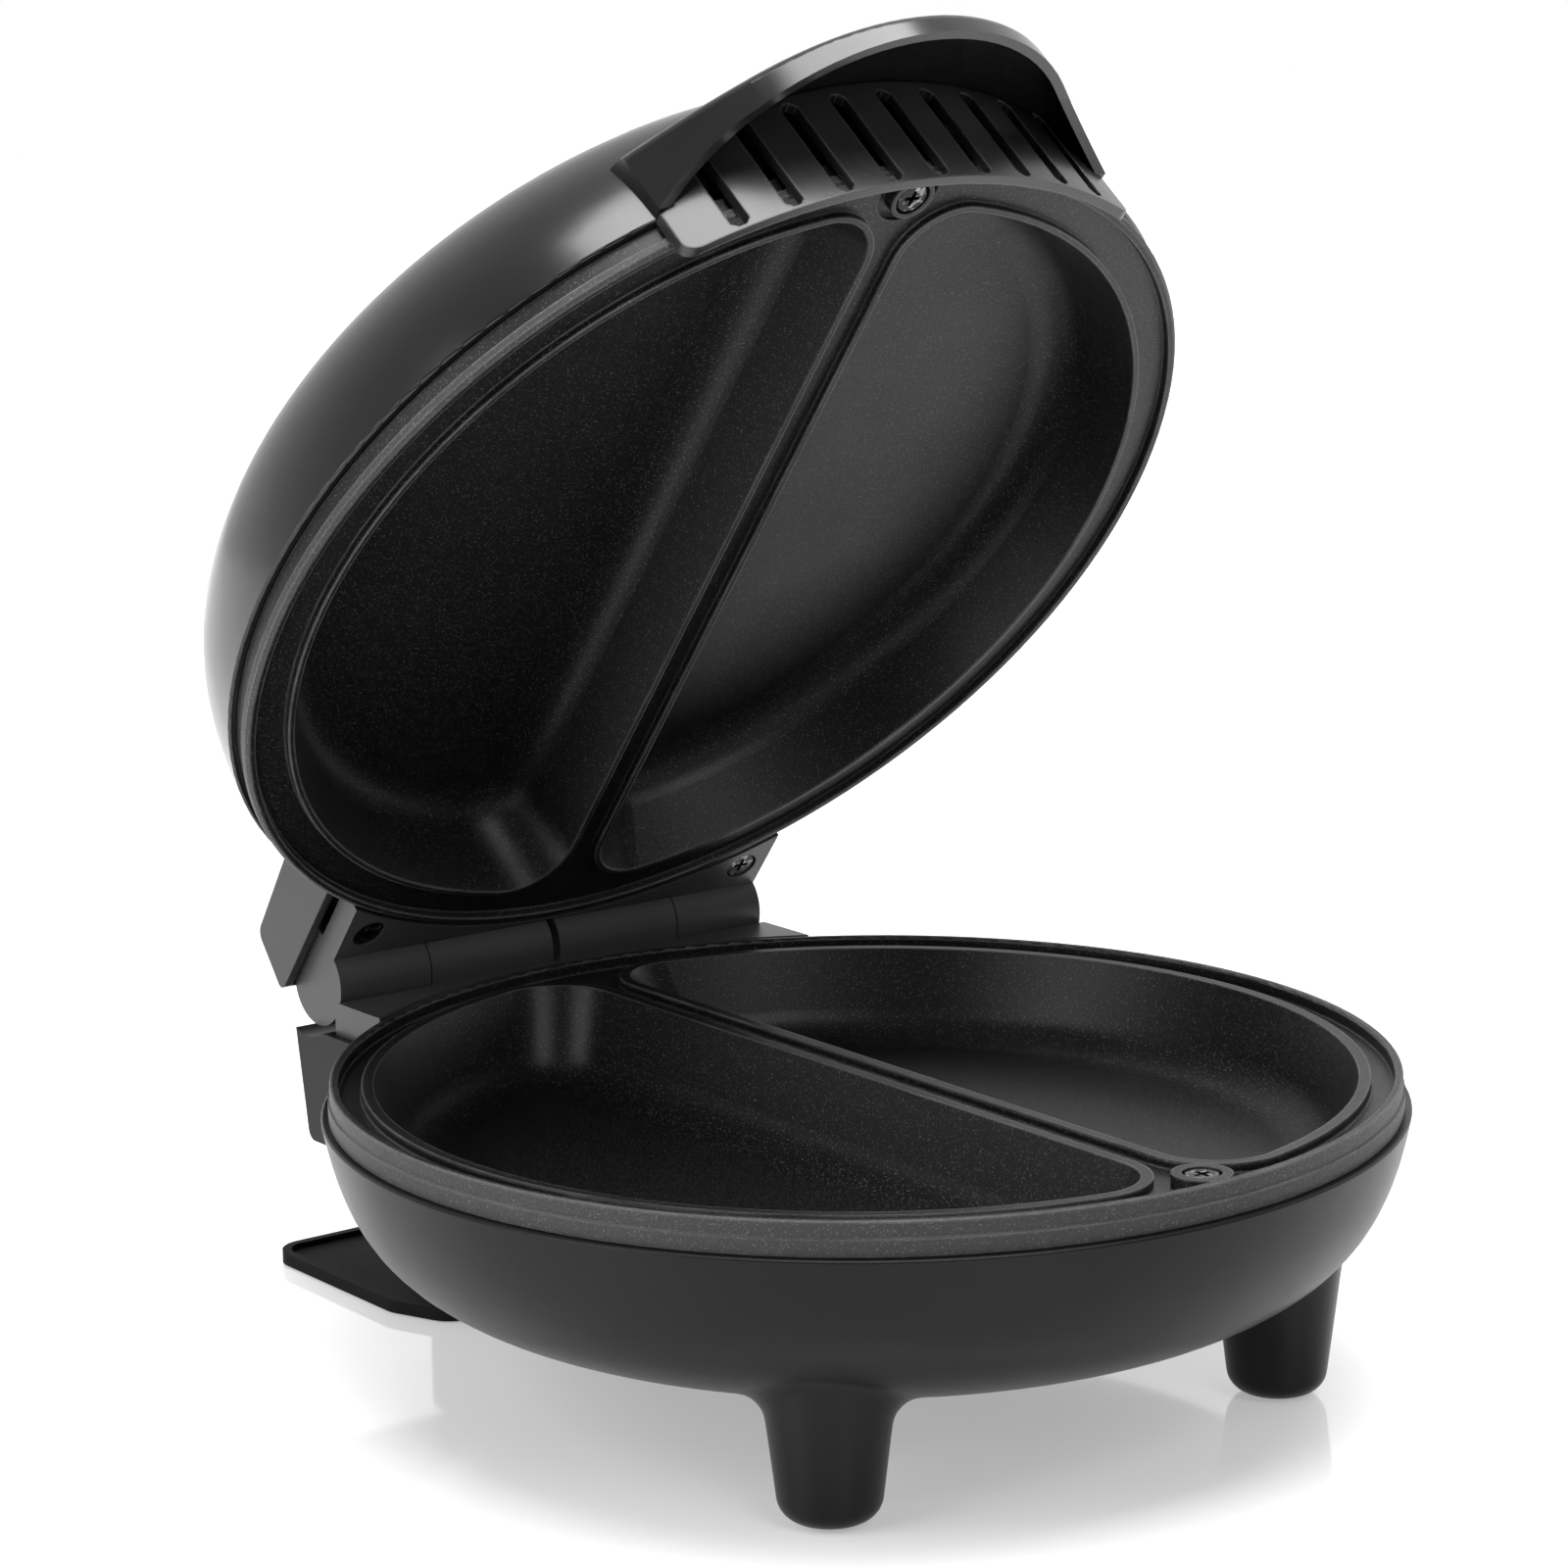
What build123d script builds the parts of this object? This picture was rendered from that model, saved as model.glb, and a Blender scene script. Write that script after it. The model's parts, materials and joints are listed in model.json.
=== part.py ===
from build123d import *
import math
import os

# Electric omelette maker: a bowl on two front legs and a rear foot, a hinged lid with a visor
# handle, and a cooking plate with two D-shaped wells in each half. All sizes are millimetres.
#
# +Z is up, -Y is the front with the handle, +Y is the hinge side, +X is the right-hand side seen
# from the front. Every piece is drawn with the lid closed, the bowl's axis on Z and the table at
# z = 0. At the end the lid's pieces are swung open about the hinge, and everything is shifted
# along Y so that the origin lies on the table under the middle of the whole object.

os.makedirs("parts", exist_ok=True)

# ---------------------------------------------------------------- driving dimensions

# Clearances
seat_gap = 0.3  # between curved faces that sit against each other
face_gap = 0.2  # between a plate's skirt and the shell edge it rests on
screw_gap = 0.1  # radial, round a screw's shank
pin_gap = 0.05  # radial, round a hinge pin
turn_gap = 0.5  # between a knuckle and the slab that it turns beside

# Bowl and front legs
leg_height = 20.0  # table to the bowl's underside
bowl_depth = 40.3
bowl_radius = 112.0
bowl_wall = 2.5
bowl_lean = 4.2  # how far the side's curve leans in
bowl_belly = 21.8  # how far down the side's curve is pulled
bowl_flat_inset = 60.3  # bowl's edge to the edge of its flat underside
bowl_sweep = 49.2  # how far out the underside's curve is pulled
leg_inset = 27.0  # bowl's edge to the circle of the legs
leg_turn = 46.8  # degrees, from the side towards the front
leg_foot_radius = 9.8
leg_top_radius = 14.5
leg_round = 5.0
leg_rise = 18.0  # bowl's underside up to a leg's end inside the bowl's side
leg_blend = 6.0
pad_proud = 0.5  # how far the rubber pads stand below the legs and the tray
foot_pad_radius = 4.0
foot_pad_thickness = 1.5

# Cooking plates
plate_inset = 2.0  # bowl's edge to the plate's edge
plate_wall = 2.5
skirt_tier = 3.5  # height of each of the skirt's two tiers
skirt_step = 0.4  # how far the lower tier stands out
rim_width = 1.8
gutter_depth = 3.0
lip_height = 2.0
well_radius_inset = 9.0  # plate's edge to the well's round edge
divider_half = 5.0
well_corner = 13.0
well_depth = 20.0
well_taper = 18.0
well_floor_corner = 11.0
well_floor_fillet = 10.0
plate_screw_inset = 7.2  # plate's edge to its front screw
plate_boss_radius = 6.0
post_radius = 4.0
post_y = 55.0
plate_gap = 1.0  # between the two plates' rims when closed
lid_recess = 1.8  # how deep the lid plate's middle lies behind its rim and lips
lid_rim_inset = 1.7  # plate's edge to the rim's inner edge
lid_rim_draft = 0.3
lid_edge_inset = 0.4  # plate's edge to the rim's outer edge
lid_edge_round = 0.3
lid_well_inset = 10.4  # plate's edge to the lid well's round edge
lid_divider_half = 4.3
lid_well_corner = 12.0
lid_lip_width = 1.4
lid_boss_radius = 4.9
lid_trough_radius = 7.0
lid_trough_depth = 1.2
lid_tier = 2.4
lid_upper_inset = 0.5  # how far the upper tier of the lid plate's skirt stands in
lid_skirt = 6.3

# Lid shell
dome_height = 43.3
dome_overhang = 1.2  # dome's edge beyond the plates' edge
shell_wall = 2.5
shell_edge_round = 0.5  # on the dome's and the bowl's outer edge
dome_lean = 2.25
dome_rise = 32.7
dome_flat_inset = 74.5  # dome's edge to the edge of its flat top
dome_sweep = 61.2

# Visor handle: its nose is measured from the dome's edge, the other points back from the nose
visor_reach = 24.8
visor_knee_x = 37.0
visor_knee_back = 15.8
visor_tip_x = 56.0
visor_tip_back = 36.5
visor_root_x = 52.0
visor_root_back = 54.0
visor_wall = 2.0
visor_roof = 2.2
visor_nose_height = 10.0  # dome's edge to the top of the visor's nose
visor_nose_rise = 4.5  # dome's edge to the nose's lower edge
visor_belly_back = 20.0  # where that edge is highest, before it curves down to the tips
visor_belly_rise = 5.0
visor_curve_back = 28.5
visor_curve_rise = 3.5
visor_edge_round = 2.5
visor_slope = 21.8  # degrees, how the visor's top climbs towards the dome
visor_crown = 180.0  # radius of the visor's top seen from the front

# Slotted front cover
cover_wall = 2.1
cover_gap = 0.5  # radial, between the cover and the lower tier of the base plate's skirt
cover_drop = 11.5  # dome's edge to the cover's lower edge
cover_half = 55.4
cover_corner = 3.0
slot_count = 9
slot_pitch = 11.1
slot_width = 3.8
slot_chamfer = 1.2
slot_sill = 0.8
slot_height = 25.0

# Hinge
lid_open_angle = 52.0  # how far the lid stands open at rest
hinge_back = 11.0  # plate's edge to the hinge axis
hinge_rise = 2.5  # base plate's rim to the hinge axis
barrel_radius = 9.5
knuckle_split = 33.4
knuckle_side_gap = 0.3
centre_gap = 2.0
slab_back = 8.5  # hinge axis to the slabs' rear face
base_slab_half = 58.0
lid_slab_half = 57.0
lid_slab_thickness = 6.2
pin_radius = 3.0
pin_bore = 2.2
pin_inner_x = 18.0
pin_outer_x = 40.0
lid_screw_x = 50.5
lid_screw_inset = 5.2  # radial, the slab's round front to the two bracket screws
lid_screw_recess = 2.0
base_screw_x = 48.0
base_screw_inset = 5.5
base_screw_depth = 10.3  # bowl's edge to the seats of the base bracket's screws
bracket_bite = 5.0  # how far those screws go into the slab

# Rear cover of the lid
hump_half = 60.0
hump_wall = 2.2
hump_bottom_rise = 1.0  # above the dome's edge
hump_height = 14.5
hump_reach = 9.2  # hinge axis to the rear lower edge
hump_lean = 3.8
hump_roof_slope = 5.0
cover_screw_x = 30.0
cover_screw_rise = 9.0  # above the dome's edge
hump_boss_radius = 3.6

# Rear housing of the base
housing_half = 60.0
housing_wall = 2.2
housing_roof = 4.5
housing_height = 25.3
housing_reach = 5.0  # hinge axis to the rear upper edge
housing_lean = 4.4
trough_radius = 11.5
housing_screw_x = 34.0
housing_screw_drop = 14.3  # below the bowl's edge
housing_boss_radius = 4.0
window_half = 15.0
window_height = 14.0

# Rear foot, placed from the hinge axis: reaches go to the rear, backs to the front
tray_half = 56.0
tray_reach = 26.0
tray_waist_back = 24.0
tray_front_half = 50.0
tray_front_back = 39.0
tray_corner = 7.0
tray_floor = 1.4
tray_rim_height = 2.8
tray_rim_width = 2.0
column_half = 28.0
column_front_back = 30.0
column_reach = 8.0
column_wall = 2.2
column_corner = 6.0
foot_screw_x = 21.0
foot_screw_back = 6.0
foot_screw_depth = 27.0
rear_pad_x = 47.5
rear_pad_width = 8.0
rear_pad_length = 22.0
rear_pad_backs = (23.0, -9.0)
rear_pad_thickness = 1.0
gland_z = 18.0
gland_radius = 6.0
gland_lip = 2.0  # how far the gland's collar stands out round its neck
cord_bore_radius = 3.6

# Elements and what goes with them
heater_radius = 3.2
heater_bend = 13.0
heater_neck_x = 14.0
heater_tail_x = 24.0
heater_terminal_inset = 22.0  # plate's edge to the terminals
heater_loop_inset = 44.0
heater_loop_corner = 22.0
heater_tail_inset = 36.0
terminal_pin = 6.0
reflector_inset = 22.0
reflector_thickness = 0.8
thermostat_x = 28.0
thermostat_radius = 7.5
thermostat_drop = 0.6  # how far it stands out below the reflector
strip_width = 8.0  # strip under the thermostat, with an end pad on the reflector on each side
strip_half = 17.0
strip_pad = 5.0
fuse_radius = 2.0
fuse_length = 12.0
fuse_lead = 8.0
fuse_wire = 0.5
lead_radius = 1.0
sleeve_radius = 1.8
sleeve_channel = 2.4
bore_end = 1.0  # how far a pin's bore runs on past the leads' channel
base_sleeve_x = 11.0
lid_sleeve_x = 43.5
block_length = 34.0
block_width = 14.0
block_height = 8.0
block_reach = 14.3  # bowl's flat underside to the middle of the terminal block
block_boss_height = 3.0
block_bore = 1.6
block_bore_height = 3.5
block_bore_x = (-12.0, -6.0, 6.0, 12.0)
block_recess = 2.0

# Indicator lamps
lamp_x = 9.0
lamp_back = 9.3  # dome's flat top to the lamps
lens_proud = 0.4
lens_brim = 1.2
lens_radius = 4.0
lens_flange = 1.0
lens_drop = 0.6  # the flanges lie flat below the dome's slightly curved inside
lamp_radius = 2.5
holder_length = 46.0
holder_width = 14.0
holder_height = 7.5
holder_peg_x = 18.0
holder_peg_radius = 2.0
holder_floor = 1.0
holder_corner = 3.0

# Screws: head radius, head height, shank radius
plate_screw = (3.6, 1.7, 1.6)
case_screw = (3.6, 1.6, 1.6)
small_screw = (3.0, 1.6, 1.4)
cross_width = 0.9
cross_span = 3.8
cross_depth = 1.1
screw_bite = 8.0  # how far most screws go into their boss
hole_past = 1.0  # how far a screw's hole goes on past its end
case_screw_length = 14.0  # of the screws through the dome and the bowl
plate_screw_recess = 2.0

# ---------------------------------------------------------------- levels and places worked out

bowl_top = leg_height + bowl_depth
bowl_flat = bowl_radius - bowl_flat_inset
leg_x = (bowl_radius - leg_inset) * math.cos(math.radians(leg_turn))
leg_y = -(bowl_radius - leg_inset) * math.sin(math.radians(leg_turn))
plate_radius = bowl_radius - plate_inset
base_face = bowl_top + face_gap + 2 * skirt_tier
deck = base_face - gutter_depth
lip_top = deck + lip_height
well_radius = plate_radius - well_radius_inset
base_pod_bottom = lip_top - well_depth - plate_wall
plate_screw_y = -(plate_radius - plate_screw_inset)

lid_ledge = base_face + plate_gap
lid_deck = lid_ledge + lid_recess
lid_deck_top = lid_deck + plate_wall
lid_pod_top = lid_ledge + well_depth + plate_wall
base_well_form = (well_radius, divider_half, well_corner)
lid_well_form = (plate_radius - lid_well_inset, lid_divider_half, lid_well_corner)
dome_edge = lid_ledge + lid_skirt + face_gap
dome_radius = plate_radius + dome_overhang
dome_top = dome_edge + dome_height
dome_flat = dome_radius - dome_flat_inset
nose_y = -(dome_radius + visor_reach)

hinge_y = plate_radius + hinge_back
hinge_z = base_face + hinge_rise
inner_knuckle_end = knuckle_split - knuckle_side_gap / 2
outer_knuckle_start = knuckle_split + knuckle_side_gap / 2
clear_radius = barrel_radius + turn_gap
web_reach = barrel_radius - turn_gap  # how far a knuckle's web reaches above or below the axis
slab_rear = hinge_y - slab_back
hinge_plane = Plane(origin=(0, hinge_y, hinge_z), x_dir=(0, 1, 0), z_dir=(1, 0, 0))

cover_inner = plate_radius + skirt_step + cover_gap
lid_screw_y = math.sqrt((cover_inner + lid_screw_inset) ** 2 - lid_screw_x**2)
base_screw_y = math.sqrt((cover_inner + base_screw_inset) ** 2 - base_screw_x**2)
lid_slab_top = lid_ledge + lid_slab_thickness
hump_bottom = dome_edge + hump_bottom_rise
housing_bottom = bowl_top - housing_height
column_top = housing_bottom - face_gap
tray_bottom = pad_proud
tray_rear = hinge_y + tray_reach
column_front = hinge_y - column_front_back
column_rear = hinge_y + column_reach
foot_screw_y = hinge_y - foot_screw_back

base_heater_z = base_pod_bottom - heater_radius - screw_gap
base_reflector_top = base_heater_z - heater_radius - screw_gap
base_reflector_bottom = base_reflector_top - reflector_thickness
lid_heater_z = lid_pod_top + heater_radius + screw_gap
lid_reflector_bottom = lid_heater_z + heater_radius + screw_gap
lid_reflector_top = lid_reflector_bottom + reflector_thickness
bowl_floor = leg_height + bowl_wall
block_bottom = bowl_floor + block_boss_height
heater_terminal_y = plate_radius - heater_terminal_inset
reflector_radius = plate_radius - reflector_inset
block_y = bowl_flat + block_reach
lamp_y = -(dome_flat + lamp_back)

# ---------------------------------------------------------------- shared shapes


def draw_bowl(inset, top):
    """Half section of the bowl out from its axis, moved in by inset and closed at height top."""
    edge_points = [(0, top), (bowl_radius - inset, top)]
    if top > bowl_top:
        edge_points.append((bowl_radius - inset, bowl_top))
    with BuildLine() as section:
        Bezier(
            (bowl_radius - inset, bowl_top),
            (bowl_radius - inset - bowl_lean, bowl_top - bowl_belly),
            (bowl_flat + bowl_sweep - inset, leg_height + inset),
            (bowl_flat, leg_height + inset),
        )
        Polyline(
            (bowl_flat, leg_height + inset),
            (0, leg_height + inset),
            *edge_points,
        )
    make_face(section.line)


def draw_dome(inset, bottom):
    """Half section of the dome out from its axis, moved in by inset and closed at bottom."""
    edge_points = [(0, bottom), (dome_radius - inset, bottom)]
    if bottom < dome_edge:
        edge_points.append((dome_radius - inset, dome_edge))
    with BuildLine() as section:
        Bezier(
            (dome_radius - inset, dome_edge),
            (dome_radius - inset - dome_lean, dome_edge + dome_rise),
            (dome_flat + dome_sweep - inset, dome_top - inset),
            (dome_flat, dome_top - inset),
        )
        Polyline(
            (dome_flat, dome_top - inset),
            (0, dome_top - inset),
            *edge_points,
        )
    make_face(section.line)


def draw_well(form, grow):
    """D-shaped outline of the right-hand well, grown outward by grow."""
    radius, straight_x, corner = form[0] + grow, form[1] - grow, form[2] + grow
    half_chord = math.sqrt(radius**2 - straight_x**2)
    with BuildLine() as outline:
        ThreePointArc((straight_x, -half_chord), (radius, 0), (straight_x, half_chord))
        Line((straight_x, half_chord), (straight_x, -half_chord))
    make_face(outline.line)
    fillet(vertices(), corner)


def make_well(form, level, side, grow):
    """The right-hand well as a solid from level, down for side -1 and up for side 1."""
    depth = well_depth + grow
    draw_in = depth * math.tan(math.radians(well_taper))
    floor_form = (form[0] - draw_in, form[1] + draw_in, well_floor_corner)
    with BuildPart() as well:
        with BuildSketch(Plane.XY.offset(level)):
            draw_well(form, grow)
        with BuildSketch(Plane.XY.offset(level + side * depth)):
            draw_well(floor_form, grow)
        loft(ruled=True)
        floor_group = 0 if side < 0 else -1
        fillet(well.edges().group_by(Axis.Z)[floor_group], well_floor_fillet + grow)
    return well.part


def draw_visor(inset):
    """Outline of the visor handle seen from above, moved in by inset."""
    knee = (visor_knee_x, nose_y + visor_knee_back)
    tip = (visor_tip_x, nose_y + visor_tip_back)
    root = (visor_root_x, nose_y + visor_root_back)
    with BuildLine() as outline:
        nose = ThreePointArc((-knee[0], knee[1]), (0, nose_y), knee)
        TangentArc(knee, tip, tangent=nose % 1)
        Polyline(tip, root, (-root[0], root[1]), (-tip[0], tip[1]))
        TangentArc((-knee[0], knee[1]), (-tip[0], tip[1]), tangent=-(nose % 0))
    make_face(outline.line)
    if inset > 0:
        offset(amount=-inset, mode=Mode.REPLACE)


def visor_prism(inset, bottom, drop):
    """The visor's outline as a block from bottom up to its crowned top, lowered by drop."""
    nose = (0, nose_y, dome_edge + visor_nose_height - drop)
    climb = math.radians(visor_slope)
    crown_plane = Plane(origin=nose, x_dir=(-1, 0, 0), z_dir=(0, math.cos(climb), math.sin(climb)))
    with BuildPart() as prism:
        with BuildSketch(Plane.XY.offset(bottom)):
            draw_visor(inset)
        extrude(amount=dome_top - bottom)
        with BuildSketch(crown_plane):
            with Locations((0, -visor_crown)):
                Circle(visor_crown)
        extrude(amount=bowl_radius, both=True, mode=Mode.INTERSECT)
    return prism.part


def turn_cut(start_x, end_x, radius, mode=Mode.SUBTRACT):
    """A cylinder about the hinge axis between two x places, cut from the current part."""
    with BuildSketch(hinge_plane.offset(start_x)) as section:
        Circle(radius)
    extrude(section.sketch, amount=end_x - start_x, mode=mode)


def drill(plane, radius, depth):
    """A round blind hole into the current part from a plane, against its normal."""
    with BuildSketch(plane) as section:
        Circle(radius)
    extrude(section.sketch, amount=-depth, mode=Mode.SUBTRACT)


def add_rod(plane, radius, length, mode=Mode.ADD):
    """A round rod in the current part along a plane's normal."""
    with BuildSketch(plane) as section:
        Circle(radius)
    extrude(section.sketch, amount=length, mode=mode)


def add_screw(seat, size, shank_length):
    """A cross-head screw in the current part. The seat plane's normal points out of its head."""
    head_radius, head_height, shank_radius = size
    with BuildSketch(seat) as head:
        Circle(head_radius)
    extrude(head.sketch, amount=head_height, taper=12)
    add_rod(seat, shank_radius, -shank_length)
    with BuildSketch(seat.offset(head_height)) as cross:
        Rectangle(cross_span, cross_width)
        Rectangle(cross_width, cross_span)
    extrude(cross.sketch, amount=-cross_depth, mode=Mode.SUBTRACT)


def add_tube(points, radius, bends):
    """A round tube in the current part along straight runs joined by arcs."""
    with BuildLine() as route:
        FilletPolyline(points, radius=bends)
    with BuildSketch(Plane(origin=route.line @ 0, z_dir=route.line % 0)) as section:
        Circle(radius)
    sweep(section.sketch, path=route.line)


def up_at(x, y, z):
    """A plane facing up at a place."""
    return Plane(origin=(x, y, z), x_dir=(1, 0, 0), z_dir=(0, 0, 1))


def down_at(x, y, z):
    """A plane facing down at a place."""
    return Plane(origin=(x, y, z), x_dir=(1, 0, 0), z_dir=(0, 0, -1))


def back_at(x, y, z):
    """A plane facing the rear at a place."""
    return Plane(origin=(x, y, z), x_dir=(1, 0, 0), z_dir=(0, 1, 0))


def front_at(x, y, z):
    """A plane facing the front at a place."""
    return Plane(origin=(x, y, z), x_dir=(1, 0, 0), z_dir=(0, -1, 0))


# The outer forms grown by the seat gap, which neighbouring pieces are cut back from.
with BuildPart() as bowl_envelope:
    with BuildSketch(Plane.XZ):
        draw_bowl(-seat_gap, bowl_top + seat_gap)
    revolve(axis=Axis.Z)

with BuildPart() as dome_envelope:
    with BuildSketch(Plane.XZ):
        draw_dome(-seat_gap, dome_edge - seat_gap)
    revolve(axis=Axis.Z)

# ---------------------------------------------------------------- bowl with front legs

bowl_boss_top = bowl_top - 1.4  # the plate's front boss meets it here
bowl_boss_radius = 4.5
centre_boss_radius = 6.0
centre_boss_top = base_reflector_bottom - screw_gap
centre_seat_z = leg_height + 3.0
housing_screw_z = bowl_top - housing_screw_drop

with BuildPart() as bowl_cavity:
    with BuildSketch(Plane.XZ):
        draw_bowl(bowl_wall, bowl_top + seat_gap)
    revolve(axis=Axis.Z)
    # what stands up inside the bowl: the front boss with its rib, the centre boss, a low boss
    add_rod(up_at(0, plate_screw_y, leg_height), bowl_boss_radius, bowl_boss_top - leg_height,
            Mode.SUBTRACT)
    with BuildSketch(up_at(0, plate_screw_y - bowl_boss_radius, leg_height)):
        Rectangle(bowl_wall, 2 * bowl_boss_radius)
    extrude(amount=bowl_boss_top - leg_height, mode=Mode.SUBTRACT)
    add_rod(up_at(0, 0, leg_height), centre_boss_radius, centre_boss_top - leg_height, Mode.SUBTRACT)
    add_rod(up_at(0, block_y, leg_height), bowl_boss_radius, block_bottom - leg_height,
            Mode.SUBTRACT)

with BuildPart() as base_shell:
    with BuildSketch(Plane.XZ):
        draw_bowl(0, bowl_top)
        fillet(vertices().sort_by(Axis.X)[-1], shell_edge_round)
    revolve(axis=Axis.Z)
    for side in (-1, 1):
        leg_plane = front_at(side * leg_x, leg_y, pad_proud)
        with BuildSketch(leg_plane):
            with BuildLine():
                Polyline(
                    (0, 0),
                    (leg_foot_radius, 0),
                    (leg_top_radius, leg_height + leg_rise),
                    (0, leg_height + leg_rise),
                    close=True,
                )
            make_face()
            fillet(vertices().group_by(Axis.Y)[0].sort_by(Axis.X)[-1], leg_round)
        revolve(axis=Axis((side * leg_x, leg_y, 0), (0, 0, 1)))
    fillet(base_shell.edges().filter_by(GeomType.BSPLINE), leg_blend)
    add(bowl_cavity.part, mode=Mode.SUBTRACT)
    for side in (-1, 1):
        drill(up_at(side * leg_x, leg_y, foot_pad_thickness), foot_pad_radius + screw_gap,
              foot_pad_thickness)
        drill(back_at(side * housing_screw_x, bowl_radius, housing_screw_z),
              case_screw[2] + screw_gap, bowl_radius - slab_rear + 2 * hinge_back)
    drill(up_at(0, plate_screw_y, bowl_boss_top), plate_screw[2] + screw_gap, screw_bite + hole_past)
    drill(up_at(0, 0, centre_boss_top), plate_screw[2] + screw_gap, centre_boss_top)
    drill(up_at(0, 0, centre_seat_z), plate_screw[0] + seat_gap, centre_seat_z)
    drill(up_at(0, block_y, block_bottom), small_screw[2] + screw_gap, block_boss_height + hole_past)
    # window for the leads into the rear housing
    with BuildSketch(back_at(0, bowl_radius, housing_screw_z)):
        Rectangle(2 * window_half, window_height)
    extrude(amount=-leg_inset, mode=Mode.SUBTRACT)

with BuildPart() as front_foot_pads:
    for side in (-1, 1):
        add_rod(up_at(side * leg_x, leg_y, 0), foot_pad_radius, foot_pad_thickness - screw_gap)

# ---------------------------------------------------------------- base plate

base_boss_bottom = bowl_boss_top + screw_gap
base_seat_z = base_face - plate_screw_recess

base_well = make_well(base_well_form, lip_top, -1, 0)
with BuildPart() as well_lip:
    with BuildSketch(Plane.XY.offset(deck)):
        draw_well(base_well_form, plate_wall)
    extrude(amount=lip_height)
    add(base_well, mode=Mode.SUBTRACT)
    fillet(well_lip.edges().group_by(Axis.Z)[-1], plate_wall / 4)

with BuildPart() as base_plate:
    with BuildSketch(Plane.XZ):
        with BuildLine():
            Polyline(
                (0, deck),
                (plate_radius - rim_width, deck),
                (plate_radius - rim_width, base_face),
                (plate_radius, base_face),
                (plate_radius, base_face - skirt_tier),
                (plate_radius + skirt_step, base_face - skirt_tier),
                (plate_radius + skirt_step, bowl_top + face_gap),
                (plate_radius - plate_wall, bowl_top + face_gap),
                (plate_radius - plate_wall, deck - plate_wall),
                (0, deck - plate_wall),
                close=True,
            )
        make_face()
        fillet(vertices().group_by(Axis.Y)[-1], rim_width / 3)
    revolve(axis=Axis.Z)
    base_pod = make_well(base_well_form, lip_top, -1, plate_wall)
    add(base_pod)
    mirror(base_pod, about=Plane.YZ)
    add_rod(up_at(0, plate_screw_y, base_boss_bottom), plate_boss_radius,
            base_face - base_boss_bottom)
    for y in (-post_y, 0, post_y):
        add_rod(up_at(0, y, base_reflector_top), post_radius, deck - base_reflector_top)
    add(base_well, mode=Mode.SUBTRACT)
    mirror(base_well, about=Plane.YZ, mode=Mode.SUBTRACT)
    add(well_lip.part)
    mirror(well_lip.part, about=Plane.YZ)
    drill(up_at(0, plate_screw_y, base_face), plate_screw[0] + seat_gap, base_face - base_seat_z)
    drill(up_at(0, plate_screw_y, base_face), plate_screw[2] + screw_gap, base_face)
    drill(down_at(0, 0, base_reflector_top), plate_screw[2] + screw_gap, screw_bite + hole_past)
    for y in (-post_y, post_y):
        drill(down_at(0, y, base_reflector_top), small_screw[2] + screw_gap, screw_bite + hole_past)

with BuildPart() as base_plate_screws:
    add_screw(up_at(0, plate_screw_y, base_seat_z), plate_screw,
              base_seat_z - bowl_boss_top + screw_bite)
    add_screw(down_at(0, 0, centre_seat_z), plate_screw,
              base_reflector_top - centre_seat_z + screw_bite)

# ---------------------------------------------------------------- element and what controls it


def heater_route(level):
    """Points of one heating element, from terminal to terminal under both wells."""
    reach = plate_radius - heater_loop_inset
    half = [
        (heater_neck_x, heater_terminal_y),
        (heater_neck_x, reach),
        (reach, reach - heater_loop_corner),
        (reach, heater_loop_corner - reach),
        (heater_tail_x, heater_tail_inset - plate_radius),
    ]
    right = [(x, y, level) for x, y in half]
    left = [(-x, y, level) for x, y in reversed(half)]
    return right + left


def make_heater(level):
    """A tubular heating element with its two terminal pins."""
    with BuildPart() as heater:
        add_tube(heater_route(level), heater_radius, heater_bend)
        for side in (-1, 1):
            add_rod(back_at(side * heater_neck_x, heater_terminal_y, level), lead_radius, terminal_pin)
    return heater


def make_reflector(bottom, centre_hole):
    """The sheet that backs an element, with its screw holes."""
    with BuildPart() as reflector:
        with BuildSketch(Plane.XY.offset(bottom)):
            Circle(reflector_radius)
            Circle(centre_hole, mode=Mode.SUBTRACT)
            with Locations((0, post_y), (0, -post_y)):
                Circle(small_screw[2] + screw_gap, mode=Mode.SUBTRACT)
        extrude(amount=reflector_thickness)
    return reflector


base_heater = make_heater(base_heater_z)
base_reflector = make_reflector(base_reflector_bottom, plate_screw[2] + seat_gap)
with base_reflector:
    drill(up_at(thermostat_x, 0, base_reflector_top), thermostat_radius + 1.0, reflector_thickness)

with BuildPart() as base_reflector_screws:
    for y in (-post_y, post_y):
        add_screw(down_at(0, y, base_reflector_bottom), small_screw, screw_bite)

thermostat_bottom = base_reflector_bottom - thermostat_drop
with BuildPart() as thermostat:
    add_rod(up_at(thermostat_x, 0, thermostat_bottom), thermostat_radius,
            base_pod_bottom - screw_gap - thermostat_bottom)

strip_bottom = thermostat_bottom - reflector_thickness
with BuildPart() as thermostat_bracket:
    with BuildSketch(up_at(thermostat_x, 0, strip_bottom)):
        Rectangle(strip_width, 2 * strip_half)
    extrude(amount=reflector_thickness)
    for side in (-1, 1):
        with BuildSketch(up_at(thermostat_x, side * (strip_half - strip_pad / 2), thermostat_bottom)):
            Rectangle(strip_width, strip_pad)
        extrude(amount=base_reflector_bottom - thermostat_bottom)

fuse_z = base_reflector_bottom - fuse_radius - face_gap
with BuildPart() as thermal_fuse:
    add_rod(back_at(-thermostat_x, -fuse_length / 2, fuse_z), fuse_radius, fuse_length)
    add_rod(back_at(-thermostat_x, -fuse_length / 2 - fuse_lead, fuse_z), fuse_wire,
            fuse_length + 2 * fuse_lead)

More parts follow.
